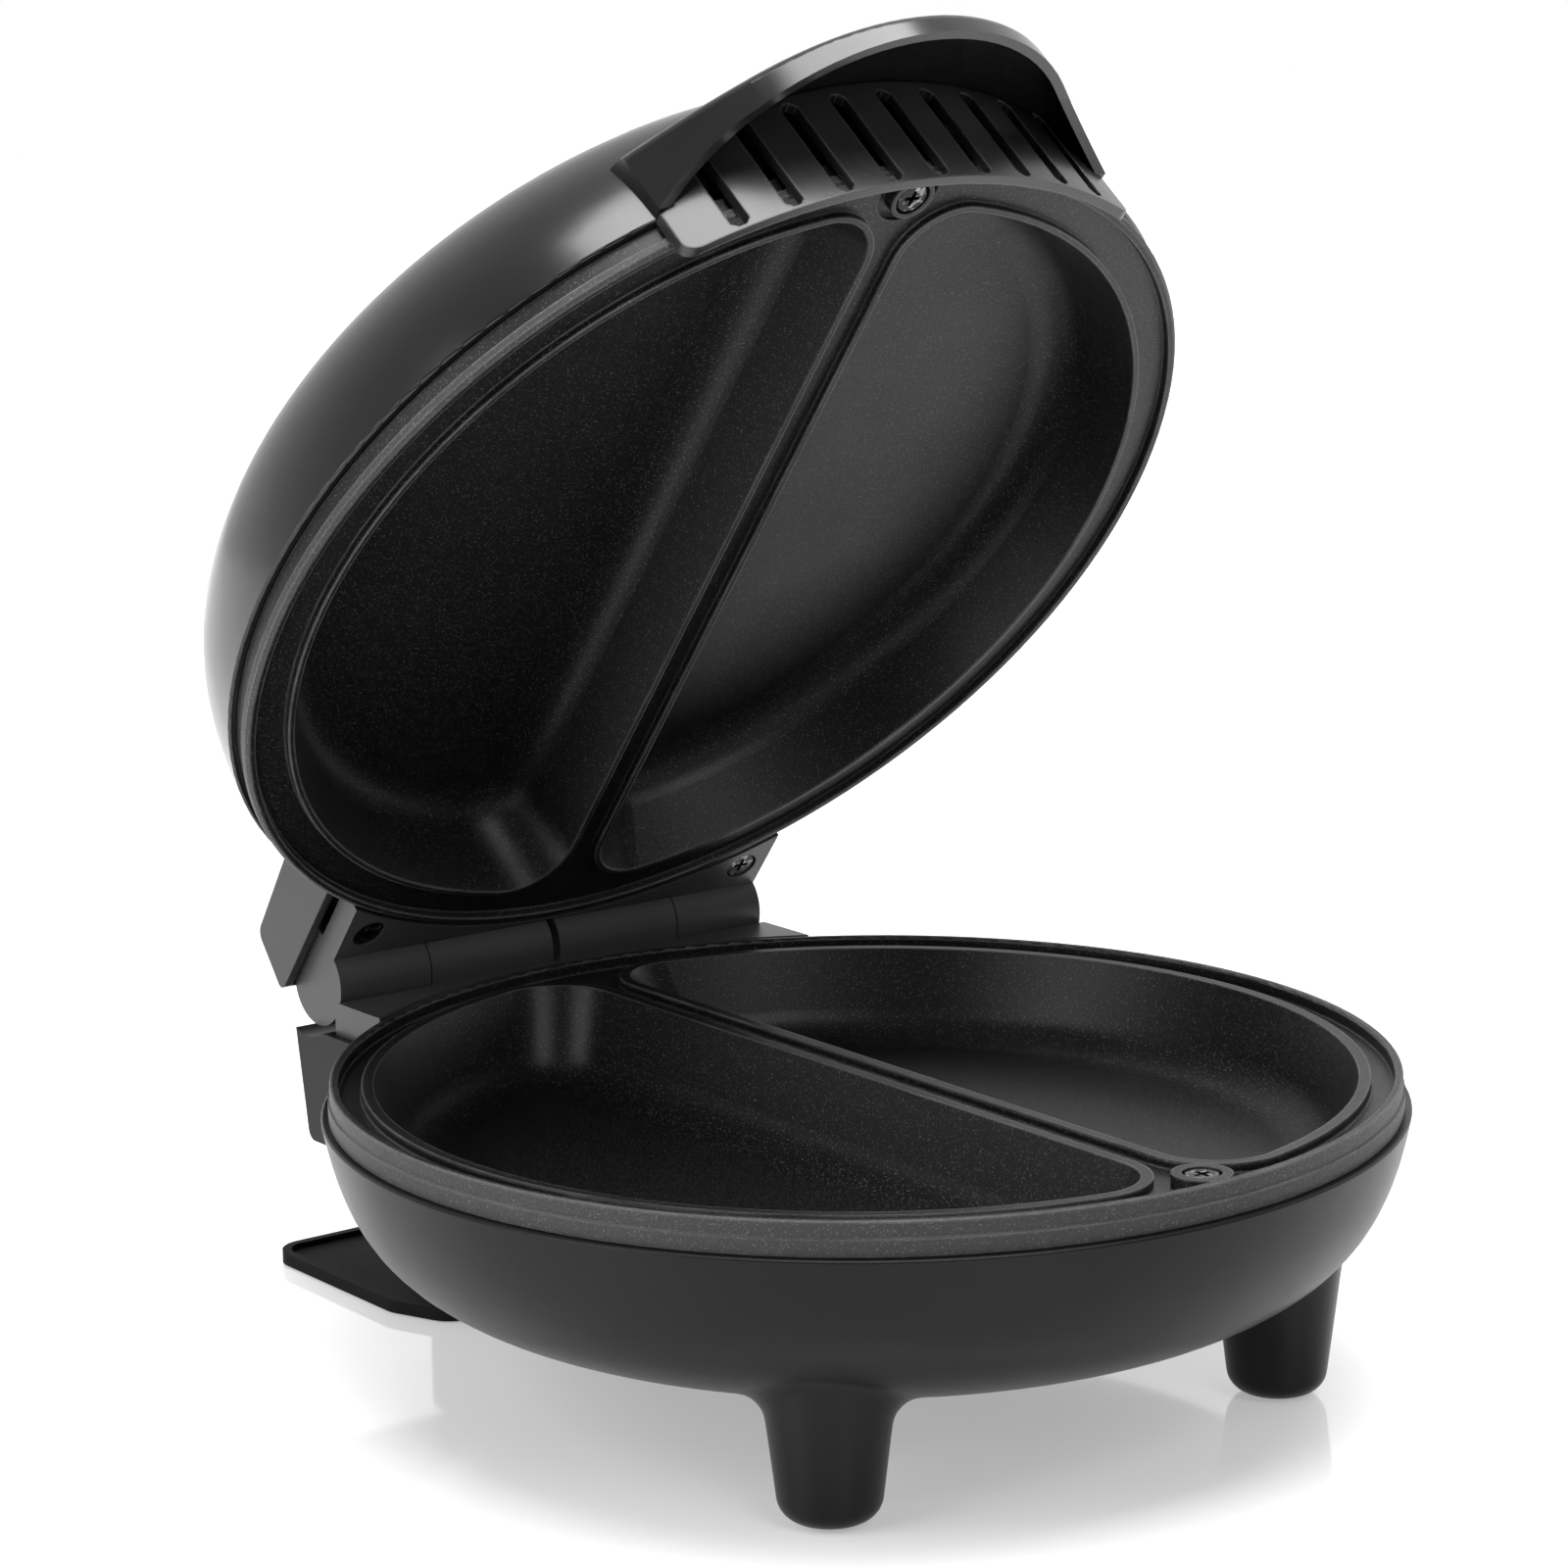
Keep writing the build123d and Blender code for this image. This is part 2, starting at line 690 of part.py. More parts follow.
with BuildPart() as terminal_block:
    with BuildSketch(up_at(0, block_y, block_bottom)):
        Rectangle(block_length, block_width)
    extrude(amount=block_height)
    for x in block_bore_x:
        drill(back_at(x, block_y + block_width / 2, block_bottom + block_bore_height), block_bore,
              block_width)
    drill(up_at(0, block_y, block_bottom + block_height), small_screw[0] + screw_gap, block_recess)
    drill(up_at(0, block_y, block_bottom + block_height), small_screw[2] + screw_gap, block_height)

with BuildPart() as terminal_screw:
    add_screw(up_at(0, block_y, block_bottom + block_height - block_recess), small_screw,
              block_height - block_recess + block_boss_height)

# ---------------------------------------------------------------- hinge

with BuildPart() as base_hinge_bracket:
    with BuildSketch(Plane.XY.offset(bowl_top)):
        with Locations((0, slab_rear)):
            Rectangle(2 * base_slab_half, 3 * slab_back, align=(Align.CENTER, Align.MAX))
        Circle(cover_inner, mode=Mode.SUBTRACT)
    extrude(amount=base_face - bowl_top)
    for side in (-1, 1):
        turn_cut(side * inner_knuckle_end, side * (base_slab_half + 1), clear_radius)
        with BuildSketch(hinge_plane.offset(side * centre_gap / 2)):
            Circle(barrel_radius)
            with Locations((0, -web_reach)):
                Rectangle(slab_back + 2, web_reach - hinge_rise, align=(Align.MAX, Align.MIN))
        extrude(amount=side * (inner_knuckle_end - centre_gap / 2))
        turn_cut(side * (base_sleeve_x - sleeve_channel - bore_end), side * inner_knuckle_end,
                 pin_radius + pin_gap)
        drill(down_at(side * base_screw_x, base_screw_y, bowl_top), case_screw[2] + screw_gap,
              bracket_bite + hole_past)
    # the leads come up here from the housing
    drill(up_at(base_sleeve_x, hinge_y, hinge_z), sleeve_channel, barrel_radius + 1.0)

with BuildPart() as hinge_pins:
    for side in (-1, 1):
        turn_cut(side * pin_inner_x, side * pin_outer_x, pin_radius, Mode.ADD)
        turn_cut(side * pin_inner_x, side * pin_outer_x, pin_bore)

lid_seat_z = lid_ledge + lid_screw_recess
with BuildPart() as lid_hinge_bracket:
    with BuildSketch(Plane.XY.offset(lid_ledge)):
        with Locations((0, slab_rear)):
            Rectangle(2 * lid_slab_half, 3 * slab_back, align=(Align.CENTER, Align.MAX))
        Circle(cover_inner, mode=Mode.SUBTRACT)
    extrude(amount=lid_slab_thickness)
    turn_cut(-outer_knuckle_start, outer_knuckle_start, clear_radius)
    for side in (-1, 1):
        with BuildSketch(hinge_plane.offset(side * outer_knuckle_start)):
            Circle(barrel_radius)
            with Locations((0, lid_ledge - hinge_z)):
                Rectangle(slab_back + 2, web_reach + hinge_z - lid_ledge,
                          align=(Align.MAX, Align.MIN))
        extrude(amount=side * (lid_slab_half - outer_knuckle_start))
        turn_cut(side * outer_knuckle_start, side * (lid_sleeve_x + sleeve_channel + bore_end),
                 pin_radius + pin_gap)
        drill(down_at(side * lid_screw_x, lid_screw_y, lid_ledge), case_screw[0] + face_gap,
              lid_seat_z - lid_ledge)
        drill(down_at(side * lid_screw_x, lid_screw_y, lid_ledge), case_screw[2] + screw_gap,
              lid_slab_thickness)
    # the leads go on up from here into the rear cover
    drill(down_at(lid_sleeve_x, hinge_y, hinge_z), sleeve_channel, barrel_radius + 1.0)

with BuildPart() as lid_bracket_screws:
    for side in (-1, 1):
        add_screw(down_at(side * lid_screw_x, lid_screw_y, lid_seat_z), case_screw,
                  lid_slab_top - lid_seat_z + screw_bite)

# ---------------------------------------------------------------- rear cover of the lid


def draw_hump(inset):
    """Side outline of the lid's rear cover, moved in by inset but open below."""
    front_y = dome_flat
    rear_y = hinge_y + hump_reach
    top_y = rear_y - hump_lean
    top_z = hump_bottom + hump_height
    roof_rise = (top_y - front_y) * math.tan(math.radians(hump_roof_slope))
    drop = 3 * inset
    with BuildLine() as outline:
        Polyline(
            (front_y, hump_bottom - drop),
            (rear_y - inset + drop * hump_lean / hump_height, hump_bottom - drop),
            (top_y - inset, top_z - inset),
            (front_y, top_z - inset + roof_rise),
            close=True,
        )
    make_face(outline.line)


cover_screw_z = dome_edge + cover_screw_rise
with BuildPart() as lid_rear_cover:
    with BuildSketch(Plane.YZ):
        draw_hump(0)
        fillet(vertices().group_by(Axis.X)[-1], 1.5)
        fillet(vertices().group_by(Axis.Y)[-2], 3.0)
    extrude(amount=hump_half, both=True)
    add(dome_envelope.part, mode=Mode.SUBTRACT)
    with BuildSketch(Plane.YZ):
        draw_hump(hump_wall)
    extrude(amount=hump_half - hump_wall, both=True, mode=Mode.SUBTRACT)
    for side in (-1, 1):
        add_rod(up_at(side * lid_screw_x, lid_screw_y, lid_slab_top), hump_boss_radius,
                hump_bottom + hump_height - lid_slab_top)
        drill(down_at(side * lid_screw_x, lid_screw_y, lid_slab_top), case_screw[2] + screw_gap,
              screw_bite + hole_past)
        add_rod(back_at(side * cover_screw_x, hinge_y - 2 * slab_back, cover_screw_z),
                hump_boss_radius, 2 * slab_back + hump_reach - hump_lean)
    add(dome_envelope.part, mode=Mode.SUBTRACT)
    for side in (-1, 1):
        drill(front_at(side * cover_screw_x, hinge_y - 2 * slab_back, cover_screw_z),
              case_screw[2] + screw_gap, case_screw_length - hole_past)
    turn_cut(-(hump_half - hump_wall), hump_half - hump_wall, clear_radius)

# ---------------------------------------------------------------- rear housing of the base

housing_rear = hinge_y + housing_reach


def draw_housing(inset, roof):
    """Side outline of the base's rear housing, moved in by inset, with its own roof thickness."""
    front_y = bowl_flat
    lean_per_z = housing_lean / housing_height
    bottom = housing_bottom + inset
    top = bowl_top - roof
    with BuildLine() as outline:
        Polyline(
            (front_y, bottom),
            (housing_rear - inset - (bowl_top - bottom) * lean_per_z, bottom),
            (housing_rear - inset - roof * lean_per_z, top),
            (front_y, top),
            close=True,
        )
    make_face(outline.line)


base_screw_seat = bowl_top - base_screw_depth
with BuildPart() as base_rear_housing:
    with BuildSketch(Plane.YZ):
        draw_housing(0, 0)
        fillet(vertices().group_by(Axis.Y)[0].sort_by(Axis.X)[-1], 2.5)
    extrude(amount=housing_half, both=True)
    with BuildSketch(Plane.YZ):
        draw_housing(housing_wall, housing_roof)
    extrude(amount=housing_half - housing_wall, both=True, mode=Mode.SUBTRACT)
    for side in (-1, 1):
        add_rod(up_at(side * base_screw_x, base_screw_y, base_screw_seat), housing_boss_radius,
                bowl_top - base_screw_seat)
        add_rod(up_at(side * foot_screw_x, foot_screw_y, housing_bottom), housing_boss_radius,
                screw_bite + housing_boss_radius)
        add_rod(back_at(side * housing_screw_x, hinge_y - 3 * slab_back, housing_screw_z),
                housing_boss_radius, 3 * slab_back + 1.0)
    add(bowl_envelope.part, mode=Mode.SUBTRACT)
    turn_cut(-housing_half, housing_half, trough_radius)
    for side in (-1, 1):
        drill(up_at(side * base_screw_x, base_screw_y, bowl_top), case_screw[2] + screw_gap,
              bowl_top - base_screw_seat)
        drill(up_at(side * base_screw_x, base_screw_y, housing_bottom + housing_wall),
              case_screw[0] + seat_gap, housing_wall)
        drill(down_at(side * foot_screw_x, foot_screw_y, housing_bottom), case_screw[2] + screw_gap,
              screw_bite + hole_past)
        drill(front_at(side * housing_screw_x, hinge_y - 3 * slab_back, housing_screw_z),
              case_screw[2] + screw_gap, 2 * slab_back)
    drill(up_at(base_sleeve_x, hinge_y, bowl_top), sleeve_channel + seat_gap, housing_roof + 1.0)
    # the cord's opening over the column
    with BuildSketch(up_at(0, foot_screw_y, housing_bottom + housing_wall)):
        Rectangle(foot_screw_x, 4 * housing_wall)
    extrude(amount=-housing_wall, mode=Mode.SUBTRACT)

with BuildPart() as base_bracket_screws:
    for side in (-1, 1):
        add_screw(down_at(side * base_screw_x, base_screw_y, base_screw_seat), case_screw,
                  bowl_top - base_screw_seat + bracket_bite)

# The heads lie against the bowl's inside, which curves away behind them.
housing_screw_seat = math.sqrt((bowl_radius - bowl_wall - bowl_lean) ** 2
                               - (housing_screw_x + case_screw[0]) ** 2) - 2 * seat_gap
with BuildPart() as housing_screws:
    for side in (-1, 1):
        add_screw(front_at(side * housing_screw_x, housing_screw_seat, housing_screw_z), case_screw,
                  case_screw_length)

# ---------------------------------------------------------------- rear foot


def draw_tray(inset):
    """Outline of the rear foot's tray seen from above, moved in by inset."""
    with BuildLine() as outline:
        Polyline(
            (tray_half, tray_rear),
            (tray_half, hinge_y - tray_waist_back),
            (tray_front_half, hinge_y - tray_front_back),
            (-tray_front_half, hinge_y - tray_front_back),
            (-tray_half, hinge_y - tray_waist_back),
            (-tray_half, tray_rear),
            close=True,
        )
    make_face(outline.line)
    fillet(vertices(), tray_corner)
    if inset > 0:
        offset(amount=-inset, mode=Mode.REPLACE)


column_mid_y = (column_front + column_rear) / 2
column_length = column_rear - column_front
pad_recess = rear_pad_thickness - pad_proud
with BuildPart() as rear_foot:
    with BuildSketch(Plane.XY.offset(tray_bottom)):
        draw_tray(0)
    extrude(amount=tray_rim_height)
    with BuildSketch(Plane.XY.offset(tray_bottom + tray_floor)):
        draw_tray(tray_rim_width)
    extrude(amount=tray_rim_height, mode=Mode.SUBTRACT)
    with BuildSketch(up_at(0, column_mid_y, tray_bottom)):
        RectangleRounded(2 * column_half, column_length, column_corner)
    extrude(amount=column_top - tray_bottom)
    with BuildSketch(up_at(0, column_mid_y, tray_bottom + tray_floor)):
        RectangleRounded(2 * (column_half - column_wall), column_length - 2 * column_wall,
                         column_corner - column_wall)
    extrude(amount=column_top, mode=Mode.SUBTRACT)
    for side in (-1, 1):
        add_rod(up_at(side * foot_screw_x, foot_screw_y, tray_bottom), plate_boss_radius,
                column_top - tray_bottom)
    add(bowl_envelope.part, mode=Mode.SUBTRACT)
    for side in (-1, 1):
        drill(up_at(side * foot_screw_x, foot_screw_y, column_top), case_screw[2] + screw_gap,
              column_top)
        drill(up_at(side * foot_screw_x, foot_screw_y, foot_screw_depth), case_screw[0] + seat_gap,
              foot_screw_depth)
        for back in rear_pad_backs:
            with BuildSketch(up_at(side * rear_pad_x, hinge_y - back, tray_bottom)):
                SlotOverall(rear_pad_length + face_gap, rear_pad_width + face_gap, rotation=90)
            extrude(amount=pad_recess, mode=Mode.SUBTRACT)
    drill(back_at(0, column_rear, gland_z), gland_radius + screw_gap, 2 * column_wall)

with BuildPart() as rear_foot_pads:
    for side in (-1, 1):
        for back in rear_pad_backs:
            with BuildSketch(up_at(side * rear_pad_x, hinge_y - back, 0)):
                SlotOverall(rear_pad_length, rear_pad_width, rotation=90)
            extrude(amount=rear_pad_thickness)

with BuildPart() as rear_foot_screws:
    for side in (-1, 1):
        add_screw(down_at(side * foot_screw_x, foot_screw_y, foot_screw_depth), case_screw,
                  housing_bottom - foot_screw_depth + screw_bite)

with BuildPart() as cord_gland:
    add_rod(back_at(0, column_rear, gland_z), gland_radius + gland_lip, gland_lip)
    add_rod(back_at(0, column_rear - column_wall - gland_lip, gland_z), gland_radius,
            column_wall + gland_lip)
    add_rod(back_at(0, column_rear - column_wall - 2 * gland_lip, gland_z), gland_radius + gland_lip,
            2 * gland_lip - face_gap)
    drill(back_at(0, column_rear + gland_lip, gland_z), cord_bore_radius, 4 * gland_radius)

# ---------------------------------------------------------------- leads in the base

block_rear = block_y + block_width / 2
with BuildPart() as base_leads:
    # from the hinge's hollow pin down through the housing and the bowl's window to the block
    add_tube(
        [
            (inner_knuckle_end, hinge_y, hinge_z),
            (base_sleeve_x, hinge_y, hinge_z),
            (base_sleeve_x, hinge_y, bowl_top - 5.0),
            (base_sleeve_x, hinge_y - 11.0, housing_screw_z),
            (base_sleeve_x, hinge_y - 22.0, housing_screw_z - 4.0),
            (9.0, reflector_radius + 4.5, base_reflector_bottom - 3.0),
            (block_bore_x[2], block_rear + 1.0, block_bottom + block_bore_height),
        ],
        sleeve_radius,
        3.5,
    )
    for side in (-1, 1):
        add_tube(
            [
                (side * block_bore_x[3], block_rear + face_gap, block_bottom + block_bore_height),
                (side * (heater_neck_x - 1.0), heater_terminal_y - 6.0,
                 block_bottom + block_bore_height),
                (side * (heater_neck_x + 2.5), heater_terminal_y + 4.0, base_heater_z - 3.0),
                (side * (heater_neck_x + 2.5), heater_terminal_y + 4.0, base_heater_z + 3.0),
            ],
            lead_radius,
            2.5,
        )

# ---------------------------------------------------------------- lid plate

lid_boss_top = dome_edge + 1.0
lid_plate_seat = lid_ledge + plate_screw_recess
lid_well = make_well(lid_well_form, lid_ledge, 1, 0)
with BuildPart() as lid_lip:
    with BuildSketch(Plane.XY.offset(lid_ledge)):
        draw_well(lid_well_form, lid_lip_width)
    extrude(amount=lid_recess)
    add(lid_well, mode=Mode.SUBTRACT)
    fillet(lid_lip.edges().group_by(Axis.Z)[0], lid_lip_width / 4)

with BuildPart() as lid_plate:
    with BuildSketch(Plane.XZ):
        with BuildLine():
            Polyline(
                (0, lid_deck),
                (plate_radius - lid_rim_inset - lid_rim_draft, lid_deck),
                (plate_radius - lid_rim_inset, lid_ledge),
                (plate_radius - lid_edge_inset, lid_ledge),
                (plate_radius + skirt_step, lid_ledge + 2 * lid_edge_inset),
                (plate_radius + skirt_step, lid_ledge + lid_tier),
                (plate_radius - lid_upper_inset, lid_ledge + lid_tier),
                (plate_radius - lid_upper_inset, lid_ledge + lid_skirt),
                (plate_radius - plate_wall, lid_ledge + lid_skirt),
                (plate_radius - plate_wall, lid_deck_top),
                (0, lid_deck_top),
                close=True,
            )
        make_face()
        fillet(vertices().group_by(Axis.Y)[0], lid_edge_round)
    revolve(axis=Axis.Z)
    lid_pod = make_well(lid_well_form, lid_ledge, 1, plate_wall)
    with BuildPart(mode=Mode.PRIVATE) as lid_pods:
        add(lid_pod)
        mirror(lid_pod, about=Plane.YZ)
        with BuildSketch(Plane.XY.offset(lid_ledge)):
            Circle(plate_radius)
        extrude(amount=lid_recess, mode=Mode.SUBTRACT)
    add(lid_pods.part)
    # the trough round the screw's boss stops short of the rim
    with BuildSketch(Plane.XY.offset(lid_deck)):
        with Locations((0, plate_screw_y)):
            Circle(lid_trough_radius)
        Circle(plate_radius - plate_wall - lid_rim_draft, mode=Mode.INTERSECT)
    extrude(amount=lid_trough_depth, mode=Mode.SUBTRACT)
    add_rod(up_at(0, plate_screw_y, lid_ledge), lid_boss_radius, lid_boss_top - lid_ledge)
    for y in (-post_y, 0, post_y):
        add_rod(up_at(0, y, lid_deck), post_radius, lid_reflector_bottom - lid_deck)
    add(lid_well, mode=Mode.SUBTRACT)
    mirror(lid_well, about=Plane.YZ, mode=Mode.SUBTRACT)
    add(lid_lip.part)
    mirror(lid_lip.part, about=Plane.YZ)
    drill(down_at(0, plate_screw_y, lid_ledge), plate_screw[0] + seat_gap, plate_screw_recess)
    drill(up_at(0, plate_screw_y, lid_boss_top), plate_screw[2] + screw_gap,
          lid_boss_top - lid_ledge)
    for y in (-post_y, post_y):
        drill(up_at(0, y, lid_reflector_bottom), small_screw[2] + screw_gap, screw_bite + hole_past)

with BuildPart() as lid_plate_screw:
    add_screw(down_at(0, plate_screw_y, lid_plate_seat), plate_screw,
              lid_boss_top - lid_plate_seat + screw_bite)

lid_heater = make_heater(lid_heater_z)
lid_reflector = make_reflector(lid_reflector_bottom, plate_screw[2] + seat_gap)

with BuildPart() as lid_reflector_screws:
    for y in (-post_y, post_y):
        add_screw(up_at(0, y, lid_reflector_top), small_screw, screw_bite)

# ---------------------------------------------------------------- dome with its visor handle

lens_top = dome_top + lens_proud
flange_top = dome_top - shell_wall - lens_drop
holder_top = flange_top - 1.2
holder_bottom = holder_top - holder_height
lid_post_bottom = lid_boss_top + screw_gap

with BuildPart() as dome_cavity:
    with BuildSketch(Plane.XZ):
        draw_dome(shell_wall, dome_edge - seat_gap)
    revolve(axis=Axis.Z)
    # what hangs down inside the dome: the plate's screw boss and the lamp holder's pegs
    add_rod(up_at(0, plate_screw_y, lid_post_bottom), bowl_boss_radius, dome_height, Mode.SUBTRACT)
    for side in (-1, 1):
        add_rod(up_at(side * holder_peg_x, lamp_y, holder_bottom), holder_peg_radius, dome_height,
                Mode.SUBTRACT)

# The space under the visor, from its roof down, and out from just inside the dome's wall.
with BuildPart() as visor_hollow:
    add(visor_prism(visor_wall, dome_edge - lid_skirt, visor_roof))
    with BuildSketch(Plane.XY.offset(dome_edge - lid_skirt)):
        Circle(dome_radius - shell_wall - seat_gap)
    extrude(amount=dome_height, mode=Mode.SUBTRACT)

with BuildPart() as lid_shell:
    add(visor_prism(0, dome_edge, 0))
    crown = lid_shell.faces().sort_by(Axis.Z)[-1]
    fillet(crown.edges().filter_by(lambda edge: edge.center().Y < nose_y + visor_tip_back),
           visor_edge_round)
    # its lower edge curves up from the tips and runs on to the nose
    with BuildSketch(Plane.YZ):
        with BuildLine():
            belly = (nose_y + visor_belly_back, dome_edge + visor_belly_rise)
            tip = (nose_y + visor_tip_back, dome_edge)
            ThreePointArc(belly, (nose_y + visor_curve_back, dome_edge + visor_curve_rise), tip)
            Polyline(
                tip,
                (tip[0], dome_edge - lid_skirt),
                (nose_y - hole_past, dome_edge - lid_skirt),
                (nose_y - hole_past, dome_edge + visor_nose_rise),
                (nose_y, dome_edge + visor_nose_rise),
                belly,
            )
        make_face()
    extrude(amount=bowl_radius, both=True, mode=Mode.SUBTRACT)
    with BuildSketch(Plane.XZ):
        draw_dome(0, dome_edge)
        fillet(vertices().sort_by(Axis.X)[-1], shell_edge_round)
    revolve(axis=Axis.Z)
    add(dome_cavity.part, mode=Mode.SUBTRACT)
    add(visor_hollow.part, mode=Mode.SUBTRACT)
    drill(up_at(0, plate_screw_y, lid_post_bottom + screw_bite + hole_past),
          plate_screw[2] + screw_gap, screw_bite + hole_past)
    for side in (-1, 1):
        drill(up_at(side * lamp_x, lamp_y, dome_top + 1), lens_radius + face_gap, 2 * shell_wall)
        drill(back_at(side * cover_screw_x, dome_radius, cover_screw_z), case_screw[2] + screw_gap,
              2 * hinge_back)
    drill(back_at(lid_sleeve_x, dome_radius, cover_screw_z), sleeve_channel + seat_gap,
          2 * hinge_back)

# The heads lie against the dome's inside, which curves away behind them.
cover_screw_seat = math.sqrt((dome_radius - shell_wall - dome_lean) ** 2
                             - (cover_screw_x + case_screw[0]) ** 2)
with BuildPart() as lid_cover_screws:
    for side in (-1, 1):
        add_screw(front_at(side * cover_screw_x, cover_screw_seat, cover_screw_z), case_screw,
                  case_screw_length)

# ---------------------------------------------------------------- slotted front cover

cover_bottom = dome_edge - cover_drop
with BuildPart() as lid_front_cover:
    add(visor_prism(visor_wall + seat_gap, dome_edge - face_gap, visor_roof + seat_gap))
    # below the dome's edge the wall is as wide as the visor, with rounded lower corners
    with BuildSketch(Plane.XZ):
        with Locations((0, cover_bottom)):
            Rectangle(2 * cover_half, cover_drop - face_gap, align=(Align.CENTER, Align.MIN))
        fillet(vertices().group_by(Axis.Y)[0], cover_corner)
    extrude(amount=2 * dome_radius)
    with BuildSketch(Plane.XY.offset(cover_bottom)):
        Circle(cover_inner + cover_wall)
        Circle(cover_inner, mode=Mode.SUBTRACT)
    extrude(amount=dome_height, mode=Mode.INTERSECT)
    with BuildSketch(Plane.XZ.offset(plate_radius - heater_terminal_inset)):
        slot_z = cover_bottom + slot_sill + slot_height / 2
        for i in range(slot_count):
            with Locations(((i - (slot_count - 1) / 2) * slot_pitch, slot_z)):
                Rectangle(slot_width, slot_height)
        chamfer(vertices(), slot_chamfer)
    extrude(amount=heater_terminal_inset + visor_reach, mode=Mode.SUBTRACT)

# ---------------------------------------------------------------- lamps and leads in the lid

with BuildPart() as indicator_lenses:
    for side in (-1, 1):
        add_rod(up_at(side * lamp_x, lamp_y, flange_top - lens_flange), lens_radius,
                lens_top - flange_top + lens_flange)
        add_rod(up_at(side * lamp_x, lamp_y, flange_top - lens_flange), lens_radius + lens_brim,
                lens_flange)

with BuildPart() as lamp_holder:
    with BuildSketch(up_at(0, lamp_y, holder_bottom)):
        RectangleRounded(holder_length, holder_width, holder_corner)
        for side in (-1, 1):
            with Locations((side * holder_peg_x, 0)):
                Circle(holder_peg_radius + screw_gap, mode=Mode.SUBTRACT)
    extrude(amount=holder_height)
    for side in (-1, 1):
        drill(up_at(side * lamp_x, lamp_y, holder_top), lamp_radius + face_gap,
              holder_height - holder_floor)

with BuildPart() as indicator_lamps:
    for side in (-1, 1):
        add_rod(up_at(side * lamp_x, lamp_y, holder_bottom + holder_floor), lamp_radius,
                holder_height - holder_floor - face_gap)

with BuildPart() as lid_leads:
    add_tube(
        [
            (outer_knuckle_start, hinge_y, hinge_z),
            (lid_sleeve_x, hinge_y, hinge_z),
            (lid_sleeve_x, hinge_y, cover_screw_z),
            (lid_sleeve_x, hinge_y - 27.5, cover_screw_z),
            (lid_sleeve_x - 5.5, hinge_y - 28.0, lid_heater_z + 0.5),
            (heater_neck_x + 3.5, heater_terminal_y + 4.0, lid_heater_z),
        ],
        sleeve_radius,
        3.5,
    )

# ---------------------------------------------------------------- place, name and write

body_y = -(tray_rear - bowl_radius) / 2
base_place = Location((0, body_y, 0))
lid_place = (
    base_place
    * Location((0, hinge_y, hinge_z))
    * Location((0, 0, 0), (-lid_open_angle, 0, 0))
    * Location((0, -hinge_y, -hinge_z))
)

base_pieces = {
    "base_shell": base_shell,
    "front_foot_pads": front_foot_pads,
    "base_plate": base_plate,
    "base_plate_screws": base_plate_screws,
    "base_heater": base_heater,
    "base_reflector": base_reflector,
    "base_reflector_screws": base_reflector_screws,
    "thermostat": thermostat,
    "thermostat_bracket": thermostat_bracket,
    "thermal_fuse": thermal_fuse,
    "terminal_block": terminal_block,
    "terminal_screw": terminal_screw,
    "base_leads": base_leads,
    "base_hinge_bracket": base_hinge_bracket,
    "base_bracket_screws": base_bracket_screws,
    "hinge_pins": hinge_pins,
    "base_rear_housing": base_rear_housing,
    "housing_screws": housing_screws,
    "rear_foot": rear_foot,
    "rear_foot_screws": rear_foot_screws,
    "rear_foot_pads": rear_foot_pads,
    "cord_gland": cord_gland,
}
lid_pieces = {
    "lid_shell": lid_shell,
    "lid_front_cover": lid_front_cover,
    "lid_plate": lid_plate,
    "lid_plate_screw": lid_plate_screw,
    "lid_heater": lid_heater,
    "lid_reflector": lid_reflector,
    "lid_reflector_screws": lid_reflector_screws,
    "lid_hinge_bracket": lid_hinge_bracket,
    "lid_bracket_screws": lid_bracket_screws,
    "lid_rear_cover": lid_rear_cover,
    "lid_cover_screws": lid_cover_screws,
    "indicator_lenses": indicator_lenses,
    "lamp_holder": lamp_holder,
    "indicator_lamps": indicator_lamps,
    "lid_leads": lid_leads,
}

for pieces, place in ((base_pieces, base_place), (lid_pieces, lid_place)):
    for name, piece in pieces.items():
        piece.part.move(place)
        piece.part.label = name
        export_step(piece.part, f"parts/{name}.step")
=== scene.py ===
"""Electric omelette maker: the camera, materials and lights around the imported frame."""

import json
import math

import bpy
from mathutils import Matrix, Vector


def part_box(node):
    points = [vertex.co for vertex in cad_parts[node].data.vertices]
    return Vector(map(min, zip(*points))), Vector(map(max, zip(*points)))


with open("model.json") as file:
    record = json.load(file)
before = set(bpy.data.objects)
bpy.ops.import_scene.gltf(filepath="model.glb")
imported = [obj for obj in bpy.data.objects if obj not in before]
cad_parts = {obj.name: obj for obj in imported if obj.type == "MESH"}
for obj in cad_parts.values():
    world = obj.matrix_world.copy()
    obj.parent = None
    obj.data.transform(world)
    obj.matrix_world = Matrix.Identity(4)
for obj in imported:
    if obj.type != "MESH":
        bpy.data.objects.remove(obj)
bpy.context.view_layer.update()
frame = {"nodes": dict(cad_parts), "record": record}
nodes = frame["nodes"]

MM = 0.001

# ---------------------------------------------------------------- camera

CAMERA_PLACE = (-0.57827, -0.75463, 0.32447)
CAMERA_AZIMUTH = math.radians(-37.14)
CAMERA_ELEVATION = math.radians(11.95)
CAMERA_ROLL = math.radians(-0.78)
CAMERA_LENS = 108.09  # in millimetres, as the sensor's width is
SENSOR_WIDTH = 36.0
CAMERA_REACH = 20.0


